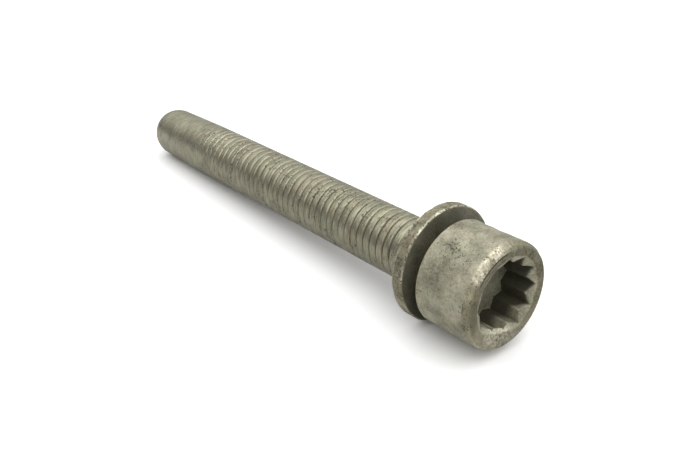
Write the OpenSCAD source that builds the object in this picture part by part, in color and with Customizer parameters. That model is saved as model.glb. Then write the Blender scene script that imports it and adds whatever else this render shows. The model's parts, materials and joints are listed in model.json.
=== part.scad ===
// Long socket-head cap screw with a twelve-point spline drive, a shallow thread with broad flat
// lands and a smooth, ball-shaped pilot end. A plain flat washer hangs loose on its shank under
// the head. Rings of the thread's pitch and section stand in for its turns.
// The screw lies as it comes to rest: on the lower rim of the washer and on its pilot end.
// X runs along the screw towards the head, Z is up, and the surface it lies on is z = 0.

/* [Shank] */
// Diameter over the lands of the thread
thread_d = 10; // [8:0.5:12]
// Length from the underside of the head to the end of the pilot
screw_len = 85; // [60:1:120]
// Length of the slightly thinner neck inside the washer
neck_len = 4; // [3.9:0.1:6]
// Depth of the neck below the lands of the thread
neck_relief = 0.25; // [0.2:0.05:0.6]
// Radius of the fillet between the neck and the head
neck_fillet = 0.6; // [0.3:0.1:1]

/* [Thread] */
// Distance from one groove to the next
thread_pitch = 1.5; // [1:0.25:2]
// Distance from the underside of the head to the middle of the first groove
thread_from = 8.25; // [7:0.25:12]
// Width of a groove at the lands
groove_width = 0.45; // [0.3:0.05:0.7]
// Width of the flat at the bottom of a groove
groove_floor = 0.1; // [0.05:0.05:0.2]
// Full angle between the sides of a groove
groove_angle = 60; // [50:5:70]

/* [Pilot end] */
// Length of the smooth pilot, with its rounded end
pilot_len = 17.5; // [8:0.5:25]
// Diameter of the tapered pilot where its rounded end begins
pilot_end_d = 9.6; // [9:0.1:9.8]
// Width of the flat left in the middle of the rounded end
pilot_flat_d = 0.8; // [0.6:0.1:3]

/* [Head] */
// Diameter of the head
head_d = 16; // [15:0.5:20]
// Height of the head
head_h = 10; // [8:0.5:14]
// Radius of the rounded outer edge of the head's face
head_round = 0.8; // [0.4:0.1:1]
// Chamfer on the edge of the head's underside
head_back_chamfer = 0.3; // [0.1:0.1:0.6]

/* [Spline socket] */
// Diameter across the twelve points of the socket
spline_d = 12; // [10:0.5:12.5]
// Depth of the socket from the head's face to its flat floor
socket_depth = 5.5; // [4:0.5:7]
// Width of the countersink beyond the points, at the head's face
mouth_margin = 0.2; // [0.1:0.05:0.4]
// Full angle of the countersink
mouth_angle = 120; // [90:5:140]
// Turn of the points about the screw's axis, counted from straight down
spline_turn = 27.8; // [0:0.1:30]

/* [Washer] */
// Diameter of the washer
washer_d = 18; // [16:0.5:24]
// Thickness of the washer
washer_t = 2; // [1:0.1:3]
// Rounding of the washer's outer edges
washer_round = 0.25; // [0.1:0.05:0.4]
// Play between the washer's hole and the shank, on the radius
washer_play = 0.5; // [0.2:0.05:1]
// Gap between the washer and the underside of the head
washer_gap = 1.6; // [1.1:0.1:1.8]

/* [Hidden] */
$fn = 96;

// Room between the washer's hole and the lands of the thread where the screw lies in the hole
crest_gap = 0.05;
// How far a cut runs past the face it opens
cut_over = 1;

thread_r = thread_d / 2;
neck_r = thread_r - neck_relief;
pilot_r = pilot_end_d / 2;
pilot_round = pilot_r - pilot_flat_d / 2;
groove_depth = (groove_width - groove_floor) / 2 / tan(groove_angle / 2);
groove_room = screw_len - pilot_len - thread_from - groove_width;
groove_count = 1 + floor(groove_room / thread_pitch);
head_r = head_d / 2;
washer_r = washer_d / 2;
washer_hole_r = thread_r + washer_play;

// The washer stands on its rim with the shank low in its hole, so its centre is above the axis
washer_lift = washer_play - crest_gap;
washer_back = washer_gap + washer_t;

// Angle at which the screw lies, with its head up. The pilot's rounded end is a ring of radius
// pilot_round, and the line from its lowest centre to the washer's lower back edge gives the angle.
rest_run = screw_len - pilot_round - (washer_back - washer_round);
rest_drop = washer_r - washer_round - washer_lift - pilot_r + pilot_round;
rest_span = sqrt(rest_run * rest_run + rest_drop * rest_drop);
lie_angle = atan2(rest_drop, rest_run) - asin((pilot_round - washer_round) / rest_span);

// Where the head's underside lies: its height above the surface, and its place along the
// length, with the middle of the whole length at x = 0
axis_rise = (screw_len - pilot_round) * sin(lie_angle)
    + (pilot_r - pilot_round) * cos(lie_angle) + pilot_round;
reach_front = (head_h - head_round) * cos(lie_angle)
    + (head_r - head_round) * sin(lie_angle) + head_round;
reach_back = (screw_len - pilot_round) * cos(lie_angle)
    + (pilot_r - pilot_round) * sin(lie_angle) + pilot_round;
axis_shift = (reach_back - reach_front) / 2;

// Lays a piece that is drawn upright, head up, with the head's underside at z = 0
module laid() {
    translate([axis_shift, 0, axis_rise]) rotate([0, 90 - lie_angle, 0]) children();
}

// Half outline of a disc from z = low to z = high, with its upper edge rounded
module rounded_outline(radius, low, high, edge) {
    intersection() {
        translate([0, low]) square([radius, high - low]);
        union() {
            translate([0, low]) square([radius, high - low - edge]);
            translate([0, low]) square([radius - edge, high - low]);
            translate([radius - edge, high - edge]) circle(r = edge);
        }
    }
}

// Half outline of the smooth pilot: a slight taper, then a rounded end
module pilot_outline() {
    taper_len = pilot_len - pilot_round;
    translate([0, -screw_len + pilot_len]) mirror([0, 1]) {
        polygon([[0, 0], [thread_r, 0], [pilot_r, taper_len], [0, taper_len]]);
        rounded_outline(pilot_r, 0, pilot_len, pilot_round);
    }
}

// Half outline of one groove, with the lands at x = 0
module groove_outline() {
    polygon([
        [-groove_depth, -groove_floor / 2], [0, -groove_width / 2], [cut_over, -groove_width / 2],
        [cut_over, groove_width / 2], [0, groove_width / 2], [-groove_depth, groove_floor / 2]
    ]);
}

// Shank with its grooves, chamfered down to the neck
module threaded_shank() {
    thread_len = screw_len - pilot_len - neck_len;
    rotate_extrude() difference() {
        union() {
            pilot_outline();
            translate([0, -neck_len - thread_len]) square([thread_r, thread_len - neck_relief]);
            translate([0, -neck_len - neck_relief])
                polygon([[0, 0], [thread_r, 0], [neck_r, neck_relief], [0, neck_relief]]);
        }
        for (turn = [0 : groove_count - 1])
            translate([thread_r, -thread_from - turn * thread_pitch]) groove_outline();
    }
}

// Plain neck with a fillet up to the head
module neck() {
    translate([0, 0, -neck_len]) cylinder(h = neck_len, r = neck_r);
    rotate_extrude() difference() {
        translate([0, -neck_fillet]) square([neck_r + neck_fillet, neck_fillet]);
        translate([neck_r + neck_fillet, -neck_fillet]) circle(r = neck_fillet);
    }
}

module head() {
    cylinder(h = head_back_chamfer, r1 = head_r - head_back_chamfer, r2 = head_r);
    rotate_extrude() rounded_outline(head_r, head_back_chamfer, head_h, head_round);
}

// Twelve points: three squares turned by 30 degrees, with a countersunk mouth
module spline_socket() {
    square_side = spline_d / sqrt(2);
    mouth_r = spline_d / 2 + mouth_margin;
    mouth_depth = mouth_r / tan(mouth_angle / 2);
    translate([0, 0, head_h - socket_depth]) linear_extrude(height = socket_depth + cut_over)
        for (turn = [0:30:60]) rotate(spline_turn + 45 + turn) square(square_side, center = true);
    translate([0, 0, head_h - mouth_depth]) cylinder(h = mouth_depth, r1 = 0, r2 = mouth_r);
}

module cap_screw() {
    color([0.60, 0.59, 0.52]) laid() difference() {
        union() {
            threaded_shank();
            neck();
            head();
        }
        spline_socket();
    }
}

module washer() {
    color([0.55, 0.54, 0.48]) laid() translate([-washer_lift, 0, -washer_back])
        rotate_extrude() difference() {
            intersection() {
                rounded_outline(washer_r, 0, washer_t, washer_round);
                translate([0, washer_t]) mirror([0, 1])
                    rounded_outline(washer_r, 0, washer_t, washer_round);
            }
            translate([0, -cut_over]) square([washer_hole_r, washer_t + 2 * cut_over]);
        }
}

cap_screw();
washer();
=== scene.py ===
import json
import math

import bmesh
import bpy
from mathutils import Matrix, Vector, noise


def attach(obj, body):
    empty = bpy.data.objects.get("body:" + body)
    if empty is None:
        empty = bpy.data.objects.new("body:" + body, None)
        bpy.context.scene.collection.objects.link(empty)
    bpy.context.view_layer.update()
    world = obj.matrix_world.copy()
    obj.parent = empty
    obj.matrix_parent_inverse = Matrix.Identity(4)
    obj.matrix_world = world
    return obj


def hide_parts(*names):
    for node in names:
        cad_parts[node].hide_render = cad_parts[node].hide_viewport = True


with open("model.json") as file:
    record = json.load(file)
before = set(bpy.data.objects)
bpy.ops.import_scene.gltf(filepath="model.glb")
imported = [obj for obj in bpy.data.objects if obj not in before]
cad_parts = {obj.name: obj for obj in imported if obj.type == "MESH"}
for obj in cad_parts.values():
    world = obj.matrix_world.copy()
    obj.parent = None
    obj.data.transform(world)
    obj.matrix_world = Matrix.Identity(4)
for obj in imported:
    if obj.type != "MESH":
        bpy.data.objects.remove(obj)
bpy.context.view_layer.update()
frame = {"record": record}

# The camera stands where the photograph was taken from: in front of the head, to the left of the
# screw's axis and looking down on it. The frame is 700 by 467 pixels.
mm = 0.001
camera_azimuth = math.radians(50.50)
camera_elevation = math.radians(29.13)
camera_distance = 130 * mm
looked_at = Vector((16.76, -2.52, 6.95)) * mm
camera_lens = 41.86

camera = bpy.data.objects.new("camera", bpy.data.cameras.new("camera"))
bpy.context.scene.collection.objects.link(camera)
bpy.context.scene.camera = camera
towards_camera = Vector((
    math.sin(camera_azimuth) * math.cos(camera_elevation),
    -math.cos(camera_azimuth) * math.cos(camera_elevation),
    math.sin(camera_elevation),
))
camera.location = looked_at + towards_camera * camera_distance
camera.rotation_mode = "QUATERNION"
camera.rotation_quaternion = (-towards_camera).to_track_quat("-Z", "Y")
camera.data.lens = camera_lens
camera.data.sensor_width = 36
camera.data.clip_start = 1 * mm
camera.data.clip_end = 10

# The screw's blank, cold forged from one bar of steel, with a round head, a plain neck and a
# smooth ball-ended pilot. It is drawn along its own axis, with the underside of the head at
# height zero and x pointing down, and laid in its resting place once it is whole.
mounts = {mount["name"]: mount for mount in frame["record"]["mounts"]}
screw_axis = Vector(mounts["drive_socket"]["axis"]).normalized()
screw_down = Vector((screw_axis.z, 0, -screw_axis.x))
screw_len = 85 * mm
head_height = 10 * mm
head_radius = 8 * mm
head_round = 0.8 * mm
head_back_chamfer = 0.3 * mm
mouth_radius = 6.2 * mm
neck_len = 4 * mm
neck_relief = 0.25 * mm
neck_fillet = 0.6 * mm
thread_radius = mounts["thread"]["dims"]["r_mm"] * mm
thread_end = -7 * mm
neck_radius = thread_radius - neck_relief
pilot_radius = 4.8 * mm
pilot_flat_radius = 0.4 * mm
pilot_len = 17.5 * mm
pilot_round = pilot_radius - pilot_flat_radius
pilot_steps = 14
spline_turn = math.radians(27.8)
facets = 96
facet_parts = 3
head_facets = facet_parts * facets
ring_step = 0.5 * mm
head_step = 0.2 * mm

head_seat = Vector(mounts["drive_socket"]["pos_m"]) - head_height * screw_axis
laid = Matrix.Translation(head_seat) @ Matrix(
    (screw_down, Vector((0, 1, 0)), screw_axis)
).transposed().to_4x4()


def part_way(first, last, share):
    """The value that lies a share of the way from the first to the last."""
    return first + (last - first) * share


def arc(height, radius, bend, first, last, steps=6):
    """Points of a rounded edge in the outline, as (height, radius), from one angle to another."""
    for step in range(steps + 1):
        angle = math.radians(part_way(first, last, step / steps))
        yield height + bend * math.cos(angle), radius + bend * math.sin(angle)


def closely_set(outline, step):
    """The same outline with points added, so that no two neighbours are further apart than step."""
    points = [outline[0]]
    for height, radius in outline[1:]:
        last_height, last_radius = points[-1]
        parts = max(1, math.ceil(math.hypot(height - last_height, radius - last_radius) / step))
        for part in range(1, parts + 1):
            share = part / parts
            points.append((
                part_way(last_height, height, share), part_way(last_radius, radius, share)
            ))
    return points


def spin(mesh, outline, count):
    """Turns an outline of (height, radius) points about the axis, and gives its two end rings."""
    rings = []
    for height, radius in outline:
        if radius == 0:
            rings.append([mesh.verts.new((0, 0, height))] * count)
            continue
        angles = [spline_turn + math.tau * facet / count for facet in range(count)]
        rings.append([
            mesh.verts.new((radius * math.cos(a), radius * math.sin(a), height)) for a in angles
        ])
    for lower, upper in zip(rings, rings[1:]):
        for facet in range(count):
            after = (facet + 1) % count
            corners = [lower[facet], lower[after], upper[after], upper[facet]]
            mesh.faces.new(list(dict.fromkeys(corners)))
    return rings[0], rings[-1]


def marks_on(mesh, *names):
    """A number on every point of the mesh under each of the names, for the finish to read."""
    return {name: mesh.verts.layers.float.new(name) for name in names}


pilot_outline = [(-screw_len, 0.0)]
pilot_outline += arc(
    pilot_round - screw_len, pilot_flat_radius, pilot_round, 180, 90, pilot_steps
)
pilot_outline += [(pilot_len - screw_len, thread_radius)]
neck_outline = [
    (thread_end, thread_radius),
    (-neck_len - neck_relief, thread_radius),
    (-neck_len, neck_radius),
    (-neck_fillet - neck_relief, neck_radius),
]
head_outline = list(arc(-neck_fillet, neck_radius + neck_fillet, neck_fillet, -90, 0))
head_outline += [(0, head_radius - head_back_chamfer), (head_back_chamfer, head_radius)]
head_outline += arc(head_height - head_round, head_radius - head_round, head_round, 90, 0)
head_outline += [(head_height, mouth_radius)]

screw_mesh = bmesh.new()
# The grime mark carries painted shade as well as dirt, and the wear mark carries painted highlights
# as well as wear.
screw_marks = marks_on(
    screw_mesh,
    "groove",
    "wear",
    "grime",
    "pitting",
    "stain",
    "streaks",
    "roughness",
    "metallic",
)
spin(screw_mesh, closely_set(pilot_outline, ring_step), facets)
neck_ring = spin(screw_mesh, closely_set(neck_outline, ring_step), facets)[1]
head_ring = spin(screw_mesh, closely_set(head_outline, head_step), head_facets)[0]
for facet in range(facets):
    lower = [neck_ring[facet], neck_ring[(facet + 1) % facets]]
    upper = [
        head_ring[(facet * facet_parts + part) % head_facets] for part in range(facet_parts + 1)
    ]
    screw_mesh.faces.new(lower + upper[::-1])

# The thread, rolled into the shank between two dies. It is one right-handed groove, 1.5 mm from
# turn to turn, narrow beside the broad flat lands between its turns. At both ends it runs out.
thread_start = pilot_len - screw_len
thread_pitch = 1.5 * mm
groove_width = 0.45 * mm
groove_floor = 0.1 * mm
groove_angle = math.radians(60)
groove_depth = (groove_width - groove_floor) / 2 / math.tan(groove_angle / 2)
pilot_end_fade = 14 * mm
head_end_fade = 2 * mm
rows_per_turn = 15.0
row_crowding = 0.7
thread_weld = 0.001 * mm


def add(tree, kind, inputs=None, **settings):
    """A node of that kind, with its settings, and with each input set or linked."""
    node = tree.nodes.new(kind)
    for name, value in settings.items():
        setattr(node, name, value)
    for name, value in (inputs or {}).items():
        if isinstance(value, bpy.types.NodeSocket):
            tree.links.new(value, node.inputs[name])
        else:
            node.inputs[name].default_value = value
    return node


def calculate(tree, operation, *values):
    """The result of a math node."""
    return add(tree, "ShaderNodeMath", dict(enumerate(values)), operation=operation).outputs[0]


def sums(tree):
    """Three functions that add, take away and multiply with math nodes of the tree."""
    return (
        lambda first, second: calculate(tree, "ADD", first, second),
        lambda first, second: calculate(tree, "SUBTRACT", first, second),
        lambda first, second: calculate(tree, "MULTIPLY", first, second),
    )


def spread(tree, value, low, high, first=0.0, last=1.0, **settings):
    """A value brought from the range of low to high to that of first to last."""
    return add(
        tree,
        "ShaderNodeMapRange",
        {"Value": value, "From Min": low, "From Max": high, "To Min": first, "To Max": last},
        **settings,
    ).outputs[0]


def new_tree(name, kind, given, made):
    """A node group with named inputs, each with its value, and named outputs."""
    tree = bpy.data.node_groups.new(name, kind)
    for title, (socket, value) in given.items():
        slot = tree.interface.new_socket(name=title, in_out="INPUT", socket_type=socket)
        if value is not None:
            slot.default_value = value
    for title, socket in made.items():
        tree.interface.new_socket(name=title, in_out="OUTPUT", socket_type=socket)
    return tree, tree.nodes.new("NodeGroupInput").outputs


def grown(tree, **values):
    """The mesh that a geometry tree makes, with its named inputs set to the values."""
    piece = bpy.data.objects.new("grown", bpy.data.meshes.new("grown"))
    bpy.context.scene.collection.objects.link(piece)
    modifier = piece.modifiers.new("grown", "NODES")
    modifier.node_group = tree
    for item in tree.interface.items_tree:
        key = item.name.replace(" ", "_").lower()
        if item.in_out == "INPUT" and key in values:
            modifier[item.identifier] = values[key]
    bpy.context.view_layer.update()
    evaluated = piece.evaluated_get(bpy.context.evaluated_depsgraph_get())
    result = bpy.data.meshes.new_from_object(evaluated)
    bpy.data.objects.remove(piece)
    return result


def make_thread_tree():
    """Winds a flat strip about the axis, one pitch higher at each turn, and cuts the groove in it.
    The strip's rows of points are crowded together where the groove is."""
    sizes = (
        "Start", "End", "Radius", "Pitch", "Groove Width", "Groove Floor", "Depth",
        "Start Fade", "End Fade", "Turn", "Crowding", "Rows Per Turn", "Weld",
    )
    inputs = {size: ("NodeSocketFloat", 0.0) for size in sizes}
    inputs["Rows"] = ("NodeSocketInt", 0)
    inputs["Columns"] = ("NodeSocketInt", 0)
    inputs["Steel"] = ("NodeSocketMaterial", None)
    tree, given = new_tree(
        "rolled_thread", "GeometryNodeTree", inputs, {"Mesh": "NodeSocketGeometry"}
    )
    plus, minus, times = sums(tree)

    def faded_in(distance, fade):
        return spread(tree, distance, 0.0, fade, interpolation_type="SMOOTHSTEP")

    strip = add(
        tree,
        "GeometryNodeMeshGrid",
        {"Size X": 1.0, "Size Y": 1.0, "Vertices X": given["Rows"], "Vertices Y": given["Columns"]},
    )
    spot = add(
        tree, "ShaderNodeSeparateXYZ", {0: add(tree, "GeometryNodeInputPosition").outputs[0]}
    )
    across = plus(spot.outputs["X"], 0.5)
    around = plus(spot.outputs["Y"], 0.5)
    turns = calculate(tree, "DIVIDE", minus(given["Rows"], 1.0), given["Rows Per Turn"])
    even_row = minus(times(across, turns), 1.0)
    wave = calculate(tree, "SINE", times(even_row, math.tau))
    shift = calculate(tree, "DIVIDE", times(wave, given["Crowding"]), math.tau)
    row = plus(even_row, shift)
    height = add(
        tree,
        "ShaderNodeClamp",
        {
            "Value": plus(given["Start"], times(plus(row, around), given["Pitch"])),
            "Min": given["Start"],
            "Max": given["End"],
        },
    ).outputs[0]

    from_middle = calculate(tree, "ABSOLUTE", minus(calculate(tree, "FRACT", row), 0.5))
    cut = spread(
        tree,
        times(from_middle, given["Pitch"]),
        times(given["Groove Width"], 0.5),
        times(given["Groove Floor"], 0.5),
    )
    full = times(
        faded_in(minus(height, given["Start"]), given["Start Fade"]),
        faded_in(minus(given["End"], height), given["End Fade"]),
    )
    groove = times(cut, full)
    radius = minus(given["Radius"], times(groove, given["Depth"]))
    angle = plus(times(around, math.tau), given["Turn"])
    place = add(
        tree,
        "ShaderNodeCombineXYZ",
        {
            0: times(radius, calculate(tree, "COSINE", angle)),
            1: times(radius, calculate(tree, "SINE", angle)),
            2: height,
        },
    )
    noted = add(
        tree,
        "GeometryNodeStoreNamedAttribute",
        {"Geometry": strip.outputs["Mesh"], "Name": "groove", "Value": groove},
        data_type="FLOAT",
        domain="POINT",
    )
    wound = add(
        tree,
        "GeometryNodeSetPosition",
        {"Geometry": noted.outputs[0], "Position": place.outputs[0]},
    )
    closed = add(
        tree,
        "GeometryNodeMergeByDistance",
        {"Geometry": wound.outputs[0], "Distance": given["Weld"]},
    )
    real = add(tree, "GeometryNodeRealizeInstances", {"Geometry": closed.outputs[0]})
    steel = add(
        tree,
        "GeometryNodeSetMaterial",
        {"Geometry": real.outputs[0], "Material": given["Steel"]},
    )
    add(tree, "NodeGroupOutput", {0: steel.outputs[0]})
    return tree


thread_rows = math.ceil(((thread_end - thread_start) / thread_pitch + 1) * rows_per_turn)
screw_mesh.from_mesh(grown(
    make_thread_tree(),
    start=thread_start,
    end=thread_end,
    radius=thread_radius,
    pitch=thread_pitch,
    groove_width=groove_width,
    groove_floor=groove_floor,
    depth=groove_depth,
    start_fade=pilot_end_fade,
    end_fade=head_end_fade,
    turn=spline_turn,
    crowding=row_crowding,
    rows_per_turn=rows_per_turn,
    weld=thread_weld,
    rows=thread_rows + 1,
    columns=facets + 1,
))

# The drive socket, punched into the head while it was forged. Three squares turned by 30 degrees
# make its twelve points, under a countersunk mouth. Its teeth have lost their sharp edges in use.
socket_points = 12
socket_depth = 5.5 * mm
socket_floor = head_height - socket_depth
spline_radius = 6 * mm
mouth_angle = math.radians(120)
mouth_slope = 1 / math.tan(mouth_angle / 2)
mouth_steps = 4
tooth_round = 0.12 * mm
tooth_round_share = 0.2
bend_middle = 1 / 3
wall_steps = 21
floor_rings = 10


def spline_radius_at(angle):
    """Distance from the axis to the socket's wall, at an angle counted from one of its points."""
    half_point = math.pi / socket_points
    from_point = abs((angle + half_point) % (2 * half_point) - half_point)
    return spline_radius * math.cos(math.pi / 4) / math.cos(math.pi / 4 - from_point)


def mouth_height(radius):
    """Height of the countersink's slope at a distance from the axis."""
    return head_height - (mouth_radius - radius) * mouth_slope


def socket_column(angle):
    """Heights and radii down the countersink, the wall and the floor, at one angle."""
    wall = spline_radius_at(angle)
    edge = mouth_height(wall)
    for step in range(mouth_steps):
        share = step / mouth_steps
        yield part_way(head_height, edge, share), part_way(mouth_radius, wall, share)
    bend = min(tooth_round, (mouth_radius - wall) * tooth_round_share)
    middle = bend * bend_middle
    yield edge + bend * mouth_slope, wall + bend
    yield edge - middle, wall + middle
    for step in range(wall_steps + 1):
        yield part_way(edge - bend, socket_floor + bend, step / wall_steps), wall
    yield socket_floor + middle, wall - middle
    for ring in range(floor_rings + 1):
        yield socket_floor, (wall - bend) * (1 - ring / floor_rings)


columns = []
for facet in range(head_facets):
    turned = math.tau * facet / head_facets
    angle = spline_turn + turned
    columns.append([
        screw_mesh.verts.new((radius * math.cos(angle), radius * math.sin(angle), height))
        for height, radius in socket_column(turned)
    ])
for column, after in zip(columns, columns[1:] + columns[:1]):
    for row in range(len(column) - 1):
        screw_mesh.faces.new([column[row], after[row], after[row + 1], column[row + 1]])

# The shank's wear and painted light. It is smoother than the head and has a shine. The groove is
# painted dark, a painted shade in it, its edges are faintly painted bright as a painted highlight,
# and the pilot is almost clean. In the pairs of this section and the next ones, a change begins at
# the first value and is complete at the second.
shank_roughness = 0.36
shank_streaks = 0.7
shank_metal = 0.9
pilot_dirt = 0.02
land_dirt = 0.09
land_dirt_rise = (thread_start - 1 * mm, thread_start + 8 * mm)
# Painted shade: the groove is painted dark, standing in for the shade deep in it.
groove_shade = 0.65
groove_shade_rise = (0.75, 1.0)
# Painted highlight: the groove's edges are painted as bright metal.
groove_edge_wear = 0.1
groove_edge_rise = (0.0, 0.15)
groove_edge_fall = (0.5, 0.2)
pilot_pitting = 0.2
land_pitting = 0.65
land_pitting_rise = (thread_start - 2 * mm, thread_start + 4 * mm)


def risen(value, zero_at, one_at):
    """Zero at one value and beyond it, one at the other, and a smooth change between them."""
    share = min(1, max(0, (value - zero_at) / (one_at - zero_at)))
    return share * share * (3 - 2 * share)


def mark(vertex, marks, **values):
    """Sets the marks of a point to the values."""
    for name, value in values.items():
        vertex[marks[name]] = value


def wear_shank(vertex):
    """Dirt, a painted shade in the groove, a painted highlight on its edges, and pits of a point on
    the shank, by its height and its share of the groove.
    """
    height = vertex.co.z
    groove = vertex[screw_marks["groove"]]
    darkening = part_way(pilot_dirt, land_dirt, risen(height, *land_dirt_rise))
    groove_edge = risen(groove, *groove_edge_rise) * risen(groove, *groove_edge_fall)
    mark(
        vertex,
        screw_marks,
        roughness=shank_roughness,
        streaks=shank_streaks,
        metallic=shank_metal,
        # The groove gets painted shade, and the lands and the pilot get their dirt.
        grime=part_way(darkening, groove_shade, risen(groove, *groove_shade_rise)),
        # Painted highlight on the groove's edges.
        wear=groove_edge_wear * groove_edge,
        pitting=part_way(pilot_pitting, land_pitting, risen(height, *land_pitting_rise)),
    )


# The socket's painted shade and wear. Its wall is painted darker with depth below the mouth, a
# painted shade in the recess, but less on the lower walls that face up into the light, and its
# floor is painted darker towards one side, a painted shade from the walls. The upper ends of the
# teeth are rubbed, and blows have pushed in the lower edge of the mouth. A side is a stretch
# around the axis: its middle in degrees from straight down, the reach of its full part, and its
# whole reach.
head_roughness = 0.6
head_streaks = 0.1
head_metal = 0.4
least_dirt = 0.08
# Painted shade: the wall is painted darker with depth below the mouth, for the shade in the recess.
# On the lit wall side, which faces up into the light, the darkening starts deeper, a painted light.
wall_shade = 0.9
wall_shade_depth = (0.05 * mm, 0.5 * mm)
lit_wall_side = (-17, 35, 85)
lit_wall_depth = (0.95 * mm, 3.3 * mm)
# Painted shade: the floor is painted darker towards one side, where the walls shade it.
floor_shade = 0.14
floor_shade_towards = math.radians(-50)
floor_shade_rise = (-1.5 * mm, 4.5 * mm)
floor_edge_height = 0.05 * mm
tooth_radius = spline_radius_at(math.pi / socket_points)
tooth_wear = 0.5
tooth_wear_reach = (0.15 * mm, 0.03 * mm)
tooth_wear_depth = (3 * mm, 0.8 * mm)
battered_side = (-17, 15.2, 38)
battered_depth = (1.6 * mm, 0.3 * mm)
battered_inside = (4.6 * mm, 5.6 * mm)
battered_outside = (7.6 * mm, 6.2 * mm)
battered_push = 0.85 * mm
battered_unevenness = 0.25
battered_lump = 0.8 * mm
battered_wear = 0.7


def measured(place):
    """Height along the axis, distance from it, and angle about it from straight down."""
    return place.z, place.xy.length, math.atan2(place.y, place.x)


def turned_from(angle, middle):
    """How far an angle is from another, either way round."""
    return abs((angle - middle + math.pi) % math.tau - math.pi)


def near(angle, side):
    """One in the full part of a side, and zero past its reach."""
    middle, full, reach = map(math.radians, side)
    return risen(turned_from(angle, middle), reach, full)


def uneven(place, size):
    """Soft noise from minus one to one, in lumps of that size."""
    return noise.noise(place / size)


def drawn_in(vertex, radius, distance):
    """Moves a point that was at that radius towards the axis."""
    vertex.co.xy *= 1 - distance / radius


def battering(height, radius, angle):
    """How battered the head is: one at the lower edge of the mouth, and zero away from it."""
    below = risen(head_height - height, *battered_depth)
    across = risen(radius, *battered_inside) * risen(radius, *battered_outside)
    return near(angle, battered_side) * below * across


def batter(vertex, radius, battered):
    """Pushes a battered point towards the axis, unevenly."""
    if battered > 0:
        lumps = 1 + battered_unevenness * uneven(vertex.co, battered_lump)
        drawn_in(vertex, radius, battered_push * battered * lumps)


def wear_socket(vertex):
    """Painted shade and wear of a point in the socket."""
    height, radius, angle = measured(vertex.co)
    battered = battering(height, radius, angle)
    below = mouth_height(radius) - height
    if height > socket_floor + floor_edge_height:
        # Painted shade on the wall, lighter on the side that faces up into the light.
        lit = near(angle, lit_wall_side)
        depths = [part_way(*ends, lit) for ends in zip(wall_shade_depth, lit_wall_depth)]
        darkening = wall_shade * risen(below, *depths)
    else:
        # Painted shade on the floor, growing towards one side.
        across = radius * math.cos(angle - floor_shade_towards)
        darkening = floor_shade * risen(across, *floor_shade_rise)
    tooth = risen(abs(radius - tooth_radius), *tooth_wear_reach) * risen(below, *tooth_wear_depth)
    mark(
        vertex,
        screw_marks,
        roughness=head_roughness,
        streaks=head_streaks,
        metallic=head_metal,
        grime=max(darkening, least_dirt),
        wear=max(battered_wear * battered, tooth_wear * tooth),
    )
    batter(vertex, radius, battered)


# The head's wear and painted light. It is dull, dented and pitted. Towards the top its rim is
# rubbed flat, and it is painted bright only on the side where the highlight falls, part wear and
# part painted highlight, with a crease beside it on the face that is painted dark as painted shade.
# One band of the side is painted lighter as a painted lit band, the lower sides are painted lighter
# as painted light from the white table, and the lower part of the face is stained with ochre
# flecks.
head_dirt = 0.2
# Painted light: outside this side, on the lower sides that the white table lights, the head's dirt
# falls to its least.
head_side_above_painted_bounce = (180, 45, 100)
face_dirt = 0.45
face_rise = (head_height - 0.3 * mm, head_height)
dirt_unevenness = 0.12
dirt_lump = 2.2 * mm
# Painted light: a band of the side is painted lighter, a painted lit band.
painted_lit_band = 0.16
painted_lit_band_side = (-150, 8, 30)
face_metal = 0.65
face_stain = 0.5
bottom_side = (-17, 45, 110)
bottom_stain = 1.0
bottom_wear = 0.18
rim_stain = 0.5
rim_reach = (1.5 * mm, 0.9 * mm)
# Part wear and part painted highlight: the rim is painted bright bare metal only on the side where
# the highlight falls.
rubbed_and_highlit_side = (-150, 19.6, 32.2)
rubbed_chamfer = 0.18 * mm
rubbed_top_side = (180, 28.648, 68.755)
rubbed_and_highlit_patch = 0.9 * mm
rubbed_and_highlit_share = 0.7
rubbed_and_highlit_unevenness = 0.8
lower_rim_wear = 0.5
lower_rim_side = (-17, 25, 75)
lower_rim_rise = (head_height - 0.7 * mm, head_height - 0.1 * mm)
battered_face_wear = 0.5
battered_dip = 0.06 * mm
battered_dip_lump = 0.6 * mm
crease_radius = 6.98 * mm
crease_reach = (0.16 * mm, 0.048 * mm)
crease_wander = 0.12 * mm
crease_lump = 0.7 * mm
crease_depth = 0.12 * mm
# Painted shade: the crease is painted dark.
crease_shade = 0.64
head_pitting = 0.45
bottom_pitting = 0.1
dent_depth = 0.09 * mm
dent_size = 1.6 * mm
dent_sink = 0.6
dented_band = 0.3 * mm
dented_from = 0.5 * mm
on_surface = 0.02 * mm

# The worst pitted places on the side: height, angle in degrees and reach of each
pitted_places = (
    (5.4 * mm, -150, 1.5 * mm),
    (3.2 * mm, -155, 1.4 * mm),
    (8.8 * mm, -98, 1.7 * mm),
    (9.2 * mm, -122, 1.2 * mm),
    (8.6 * mm, -76, 1.5 * mm),
)


def pitted(height, angle):
    """How badly the side is pitted, from all the worst places together."""
    total = 0
    for middle, side, reach in pitted_places:
        around = head_radius * turned_from(angle, math.radians(side))
        total += math.exp(-((height - middle) ** 2 + around ** 2) / reach ** 2)
    return total


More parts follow.
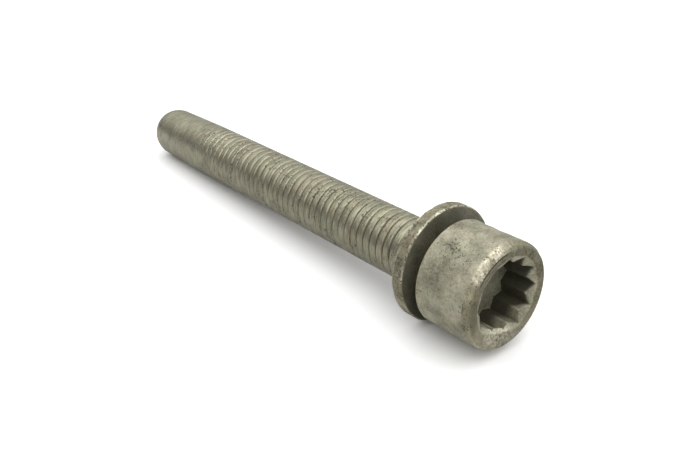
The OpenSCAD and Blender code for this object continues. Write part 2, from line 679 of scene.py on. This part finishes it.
def wear_head(vertex):
    """Dirt, painted shade and painted light, wear and a painted highlight, stains, pits and dents
    of a point on the face, the side or the underside.
    """
    height, radius, angle = measured(vertex.co)
    battered = battering(height, radius, angle)
    rubbed_and_highlit = near(angle, rubbed_and_highlit_side)
    on_face = risen(height, *face_rise)
    bottom = on_face * near(angle, bottom_side)
    from_corner = head_height - height + head_radius - radius
    rim = risen(from_corner, *rim_reach)

    # Painted light: the lower sides are left lighter than the top.
    side_darkening = part_way(least_dirt, head_dirt, near(angle, head_side_above_painted_bounce))
    darkening = part_way(side_darkening, face_dirt, on_face)
    darkening += dirt_unevenness * uneven(vertex.co, dirt_lump)
    # Painted light: the lit band is painted lighter.
    darkening -= painted_lit_band * near(angle, painted_lit_band_side) * (1 - on_face)
    darkening = max(0, darkening)

    lower_rim = near(angle, lower_rim_side) * risen(height, *lower_rim_rise)
    # Bright rim: part wear, part painted highlight.
    patchy = rubbed_and_highlit_share + rubbed_and_highlit_unevenness * uneven(vertex.co, rubbed_and_highlit_patch)
    wear = (rubbed_and_highlit * rim + lower_rim_wear * lower_rim) * patchy
    wear += battered_face_wear * battered + bottom_wear * bottom
    wear = min(1, max(0, wear))

    batter(vertex, radius, battered)
    if height > head_height - on_surface:
        wander = crease_wander * uneven(vertex.co, crease_lump)
        crease = rubbed_and_highlit * risen(abs(radius - crease_radius - wander), *crease_reach)
        # Painted shade in the crease.
        darkening += crease_shade * crease
        wear *= 1 - crease
        vertex.co.z -= crease_depth * crease
        vertex.co.z -= battered_dip * battered * (1 - uneven(vertex.co, battered_dip_lump))

    flattened = rubbed_chamfer * max(rubbed_and_highlit, near(angle, rubbed_top_side))
    cut = flattened + (head_round * (2 - math.sqrt(2)) - from_corner) / 2
    if cut > 0:
        vertex.co.z -= cut
        drawn_in(vertex, radius, cut)
    if radius > head_radius - dented_band and height > dented_from:
        drawn_in(vertex, radius, dent_depth * (dent_sink - uneven(vertex.co, dent_size)))

    face_stains = face_stain * on_face + (bottom_stain - face_stain) * bottom
    mark(
        vertex,
        screw_marks,
        roughness=head_roughness,
        streaks=head_streaks,
        metallic=part_way(head_metal, face_metal, on_face),
        grime=darkening,
        wear=wear,
        stain=max(face_stains, rim_stain * rim),
        pitting=part_way(head_pitting, bottom_pitting, bottom) + pitted(height, angle),
    )


for vertex in screw_mesh.verts:
    height, radius = measured(vertex.co)[:2]
    if height <= -neck_fillet:
        wear_shank(vertex)
    elif radius < mouth_radius - on_surface and height > socket_floor - on_surface:
        wear_socket(vertex)
    else:
        wear_head(vertex)

# The finish of the steel, screw and washer alike: a thin olive-grey coating, blotched, stained and
# streaked around the axis, with dark pits where it is gone. On the edges it is rubbed down to
# bright metal, which in places is a painted highlight, and dirt and painted shade lie over it.
lie_angle = math.asin(screw_axis.z)
bump_depth = 0.04 * mm
same_point = 0.0005 * mm
sharp_angle = math.radians(38)


def make_coating():
    """Builds the coating from clouds of several sizes. A pair says where in its clouds a mark
    begins and where it is full."""
    colour, real = "NodeSocketColor", "NodeSocketFloat"
    tree, given = new_tree(
        "worn_coating",
        "ShaderNodeTree",
        {
            "Coat": (colour, (0.09, 0.086, 0.057, 1)),
            "Pale": (colour, (0.61, 0.58, 0.44, 1)),
            "Green": (colour, (0.97, 1.0, 0.93, 1)),
            "Brown": (colour, (1.0, 0.97, 0.905, 1)),
            "Dark": (colour, (0.046, 0.044, 0.028, 1)),
            "Metal": (colour, (0.95, 0.89, 0.7, 1)),
            "Ochre": (colour, (0.62, 0.52, 0.31, 1)),
            "Lie Angle": (real, 0.0),
            "Blotch Scale": (real, 350.0),
            "Speck Scale": (real, 2800.0),
            "Streak Scale": (real, 420.0),
            "Streaks": (real, 0.5),
            "Pits": (real, 0.85),
            "Pitting": (real, 0.3),
            "Roughness": (real, 0.4),
            # Wear carries painted highlights as well as wear, and Grime carries painted shade as
            # well as dirt.
            "Wear": (real, 0.0),
            "Stain": (real, 0.0),
            "Grime": (real, 0.0),
        },
        {"Color": colour, "Roughness": real, "Height": real},
    )
    plus, minus, times = sums(tree)
    streak_squeeze = (14.0, 1.0, 1.0)
    blotch_ends = (0.33, 0.67)
    speck_ends = (0.28, 0.72)
    streak_ends = (0.32, 0.68)
    streaked_ends = (0.1, 0.7)
    grain_shares = (0.52, 0.78)
    green_ends = (0.45, 0.6)
    brown_ends = (0.5, 0.35)
    fleck_ends = (0.6, 0.45)
    patch_ends = (0.4, 0.6)
    patch_pit_levels = (0.7, 0.59)
    pitting_drop = 0.1
    pit_ends = (0.0, 0.08)
    patch_scale = 0.9
    stain_scale = 0.8
    worn_and_highlit_ends = (0.58, 0.46)
    pale_roughness = (0.08, -0.08)
    worn_and_highlit_smoothness = 0.1
    blotch_height = 0.3
    grain_height = 0.4

    def clouds(vector, scale, detail, rough):
        return add(
            tree,
            "ShaderNodeTexNoise",
            {"Vector": vector, "Scale": scale, "Detail": detail, "Roughness": rough},
        ).outputs[0]

    def between(value, ends, levels=(0.0, 1.0)):
        return spread(tree, value, *ends, *levels)

    def blend(share, first, second, **settings):
        return add(
            tree,
            "ShaderNodeMix",
            {"Factor": share, 6: first, 7: second},
            data_type="RGBA",
            **settings,
        ).outputs[2]

    turn = add(tree, "ShaderNodeCombineXYZ", {1: given["Lie Angle"]}).outputs[0]
    place = add(
        tree,
        "ShaderNodeMapping",
        {"Vector": add(tree, "ShaderNodeTexCoord").outputs["Object"], "Rotation": turn},
    ).outputs[0]
    squeezed = add(
        tree, "ShaderNodeVectorMath", {0: place, 1: streak_squeeze}, operation="MULTIPLY"
    ).outputs[0]
    blotches = between(clouds(place, given["Blotch Scale"], detail=5.0, rough=0.6), blotch_ends)
    specks = clouds(place, given["Speck Scale"], detail=4.0, rough=0.7)
    streaks = clouds(squeezed, given["Streak Scale"], detail=4.0, rough=0.65)
    patches = clouds(place, times(given["Blotch Scale"], patch_scale), detail=2.0, rough=0.5)
    stains = clouds(place, times(given["Blotch Scale"], stain_scale), detail=3.0, rough=0.6)

    grain = blend(given["Streaks"], between(specks, speck_ends), between(streaks, streak_ends))
    mixed = blend(between(given["Streaks"], streaked_ends, grain_shares), blotches, grain)
    coated = blend(mixed, given["Coat"], given["Pale"])
    greened = blend(between(stains, green_ends), coated, given["Green"], blend_type="MULTIPLY")
    browned = blend(between(stains, brown_ends), greened, given["Brown"], blend_type="MULTIPLY")
    flecks = times(given["Stain"], between(specks, fleck_ends))
    stained = blend(flecks, browned, given["Ochre"], blend_type="MULTIPLY")

    pit_level = minus(
        between(patches, patch_ends, patch_pit_levels), times(given["Pitting"], pitting_drop)
    )
    pits = times(between(minus(specks, pit_level), pit_ends), given["Pits"])
    pitted_coat = blend(pits, stained, given["Dark"])
    # Bare metal where the wear mark is high. That mark also carries the painted highlights.
    worn_and_highlit = times(given["Wear"], between(specks, worn_and_highlit_ends))
    bared_and_highlit = blend(worn_and_highlit, pitted_coat, given["Metal"])
    # Dirt and painted shade together, from the grime mark.
    dirty_and_shaded = blend(given["Grime"], bared_and_highlit, given["Dark"])

    roughness = minus(
        plus(given["Roughness"], between(mixed, (0.0, 1.0), pale_roughness)),
        times(worn_and_highlit, worn_and_highlit_smoothness),
    )
    height = minus(plus(times(blotches, blotch_height), times(grain, grain_height)), pits)
    add(tree, "NodeGroupOutput", {"Color": dirty_and_shaded, "Roughness": roughness, "Height": height})
    return tree


def metal_finish(name, masks, **values):
    """A material of the worn coating over rough metal. Each mask is a mark on the mesh, and each
    value is the same all over it."""
    material = bpy.data.materials.new(name)
    material.use_nodes = True
    tree = material.node_tree
    tree.nodes.clear()
    for mask in masks:
        values[mask] = add(tree, "ShaderNodeAttribute", attribute_name=mask).outputs["Fac"]
    metallic = values.pop("metallic")
    coating = add(
        tree,
        "ShaderNodeGroup",
        {"Lie Angle": lie_angle, **{title.title(): value for title, value in values.items()}},
        node_tree=worn_coating,
    )
    bump = add(
        tree,
        "ShaderNodeBump",
        {"Height": coating.outputs["Height"], "Distance": bump_depth, "Strength": 1.0},
    )
    steel = add(
        tree,
        "ShaderNodeBsdfPrincipled",
        {
            "Base Color": coating.outputs["Color"],
            "Roughness": coating.outputs["Roughness"],
            "Metallic": metallic,
            "Normal": bump.outputs[0],
        },
    )
    add(tree, "ShaderNodeOutputMaterial", {"Surface": steel.outputs[0]})
    return material


def finish_piece(mesh, name, material, replaced):
    """Makes the mesh one piece of the model, laid in its place, with its finish."""
    bmesh.ops.remove_doubles(mesh, verts=mesh.verts, dist=same_point)
    bmesh.ops.dissolve_degenerate(mesh, edges=mesh.edges, dist=same_point)
    bmesh.ops.recalc_face_normals(mesh, faces=mesh.faces)
    for face in mesh.faces:
        face.smooth = True
    for edge in mesh.edges:
        edge.smooth = edge.calc_face_angle(0) < sharp_angle
    mesh.transform(laid)
    data = bpy.data.meshes.new(name)
    mesh.to_mesh(data)
    mesh.free()
    data.materials.append(material)
    piece = bpy.data.objects.new(name, data)
    bpy.context.scene.collection.objects.link(piece)
    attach(piece, "root")
    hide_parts(replaced)


worn_coating = make_coating()
screw_finish = metal_finish(
    "coated_steel",
    ("wear", "grime", "pitting", "stain", "streaks", "roughness", "metallic"),
)
finish_piece(screw_mesh, "forged_screw", screw_finish, "cap_screw")

# The washer, stamped from sheet steel and loose on the shank. It stands on its rim, so its centre
# is a little above the screw's axis. Its edges are rubbed and nicked, and near the top an edge is
# painted bright as a painted highlight. Its faces are painted dark as painted shade, most of all
# low down.
washer_radius = 9 * mm
washer_hole_radius = 5.5 * mm
washer_thickness = 2 * mm
washer_back = -3.6 * mm
washer_front = washer_back + washer_thickness
washer_lift = 0.45 * mm
washer_round = 0.25 * mm
washer_roughness = 0.55
washer_metal = 0.5
washer_rim_rise = (washer_radius - 0.3 * mm, washer_radius - 0.1 * mm)
washer_edge_reach = (0.4 * mm, 0.15 * mm)
washer_edge_wear = 0.25
# Painted highlight: near the top the edge is painted bright.
bright_edge_wear = 0.8
painted_edge_highlight_side = (-160, 14, 32)
edge_unevenness = 0.8
edge_lump = 1.1 * mm
# Painted shade: the washer's faces are painted dark, most of all low down, for the shade that the
# head casts on them.
washer_low_shade = 0.86
washer_upper_shade = 0.64
washer_face_side = (180, 60, 130)
washer_rim_dirt = 0.15
washer_rim_stain = 0.4
washer_face_pitting = 0.3
washer_rim_pitting = 1.2
washer_dent_depth = 0.05 * mm
washer_dent_sink = 0.5
nick_at = math.radians(-171)
nick_reach = (0.5 * mm, 0.1 * mm)
nick_depth = 0.12 * mm


def wear_washer(vertex):
    """Painted shade, wear and a painted highlight, stains, pits and dents of a point on the washer.
    """
    height, radius, angle = measured(vertex.co)
    on_rim = risen(radius, *washer_rim_rise)
    from_face = min(washer_front - height, height - washer_back)
    edge = on_rim * risen(from_face, *washer_edge_reach)
    # Edge wear, with a painted highlight near the top.
    rubbed_and_highlit = part_way(washer_edge_wear, bright_edge_wear, near(angle, painted_edge_highlight_side))
    rubbed_and_highlit += edge_unevenness * uneven(vertex.co, edge_lump)
    # Painted shade on the faces, darker low down.
    darkening = part_way(washer_low_shade, washer_upper_shade, near(angle, washer_face_side))
    mark(
        vertex,
        washer_marks,
        grime=part_way(darkening, washer_rim_dirt, on_rim),
        wear=min(1, max(0, edge * rubbed_and_highlit)),
        stain=washer_rim_stain * on_rim,
        pitting=part_way(washer_face_pitting, washer_rim_pitting, on_rim),
    )
    nick = edge * risen(turned_from(angle, nick_at) * radius, *nick_reach)
    dent = washer_dent_depth * (washer_dent_sink - uneven(vertex.co, dent_size))
    drawn_in(vertex, radius, on_rim * (dent + nick_depth * nick))


washer_bend = washer_radius - washer_round
washer_outline = [(washer_back, washer_hole_radius)]
washer_outline += arc(washer_back + washer_round, washer_bend, washer_round, 180, 90)
washer_outline += arc(washer_front - washer_round, washer_bend, washer_round, 90, 0)
washer_outline += [(washer_front, washer_hole_radius), (washer_back, washer_hole_radius)]
washer_mesh = bmesh.new()
washer_marks = marks_on(washer_mesh, "wear", "grime", "pitting", "stain")
spin(washer_mesh, closely_set(washer_outline, head_step), head_facets)
for vertex in washer_mesh.verts:
    wear_washer(vertex)
washer_mesh.transform(Matrix.Translation((-washer_lift, 0, 0)))
washer_finish = metal_finish(
    "washer_steel",
    ("wear", "grime", "pitting", "stain"),
    streaks=0.0,
    roughness=washer_roughness,
    metallic=washer_metal,
)
finish_piece(washer_mesh, "flat_washer", washer_finish, "washer")

# The table, an even sheet of white paper that keeps the shadow. The camera sees it white, and the
# steel mirrors it darker than it is.
table_radius = 1.5
table_sides = 64
table_colour = 0.85
table_seen_colour = 1.0
table_mirrored_colour = 0.55

table_mesh = bmesh.new()
bmesh.ops.create_circle(table_mesh, cap_ends=True, segments=table_sides, radius=table_radius)
table_data = bpy.data.meshes.new("table")
table_mesh.to_mesh(table_data)
table_mesh.free()
table = bpy.data.objects.new("table", table_data)
bpy.context.scene.collection.objects.link(table)


def value_between(tree, share, first, second):
    """The value that lies a share of the way from one to the other, by a mix node."""
    return add(tree, "ShaderNodeMix", {"Factor": share, 2: first, 3: second}).outputs[0]


paper = bpy.data.materials.new("white_paper")
paper.use_nodes = True
paper_tree = paper.node_tree
paper_tree.nodes.clear()
paper_rays = add(paper_tree, "ShaderNodeLightPath").outputs
paper_mirrored = value_between(
    paper_tree, paper_rays["Is Glossy Ray"], table_colour, table_mirrored_colour
)
paper_shade = value_between(
    paper_tree, paper_rays["Is Camera Ray"], paper_mirrored, table_seen_colour
)
matt = add(paper_tree, "ShaderNodeBsdfDiffuse", {"Color": paper_shade})
add(paper_tree, "ShaderNodeOutputMaterial", {"Surface": matt.outputs[0]})
table_data.materials.append(paper)

# The light of the studio: a white dome, bright overhead and dim at the horizon, which the camera
# sees as plain white, and one very wide softbox above and a little in front.
horizon_light = 0.03
dome_light = 1.57
mirrored_horizon_light = 0.1
mirrored_dome_light = 1.46
dome_middle = Vector((0, 0.15, 1)).normalized()
dome_full_at = 0.86
softbox_light = 0.8
softbox_width = math.radians(100)
softbox_direction = Vector((0, -0.3, 1))

world = bpy.data.worlds.new("studio")
bpy.context.scene.world = world
world.use_nodes = True
sky_tree = world.node_tree
sky_tree.nodes.clear()
sky_rays = add(sky_tree, "ShaderNodeLightPath").outputs
towards_middle = add(
    sky_tree,
    "ShaderNodeVectorMath",
    {0: add(sky_tree, "ShaderNodeTexCoord").outputs["Generated"], 1: dome_middle},
    operation="DOT_PRODUCT",
).outputs["Value"]
dome = spread(
    sky_tree,
    towards_middle,
    0.0,
    dome_full_at,
    value_between(
        sky_tree, sky_rays["Is Glossy Ray"], horizon_light, mirrored_horizon_light
    ),
    value_between(sky_tree, sky_rays["Is Glossy Ray"], dome_light, mirrored_dome_light),
    interpolation_type="SMOOTHSTEP",
)
seen = calculate(
    sky_tree, "MAXIMUM", sky_rays["Is Camera Ray"], sky_rays["Is Transmission Ray"]
)
sky = add(
    sky_tree,
    "ShaderNodeBackground",
    {"Color": (1, 1, 1, 1), "Strength": calculate(sky_tree, "MAXIMUM", dome, seen)},
)
add(sky_tree, "ShaderNodeOutputWorld", {"Surface": sky.outputs[0]})

softbox = bpy.data.lights.new("softbox", "SUN")
softbox.energy = softbox_light
softbox.angle = softbox_width
lamp = bpy.data.objects.new("softbox", softbox)
bpy.context.scene.collection.objects.link(lamp)
lamp.rotation_mode = "QUATERNION"
lamp.rotation_quaternion = softbox_direction.to_track_quat("Z", "Y")

bpy.context.scene.view_settings.view_transform = "Standard"
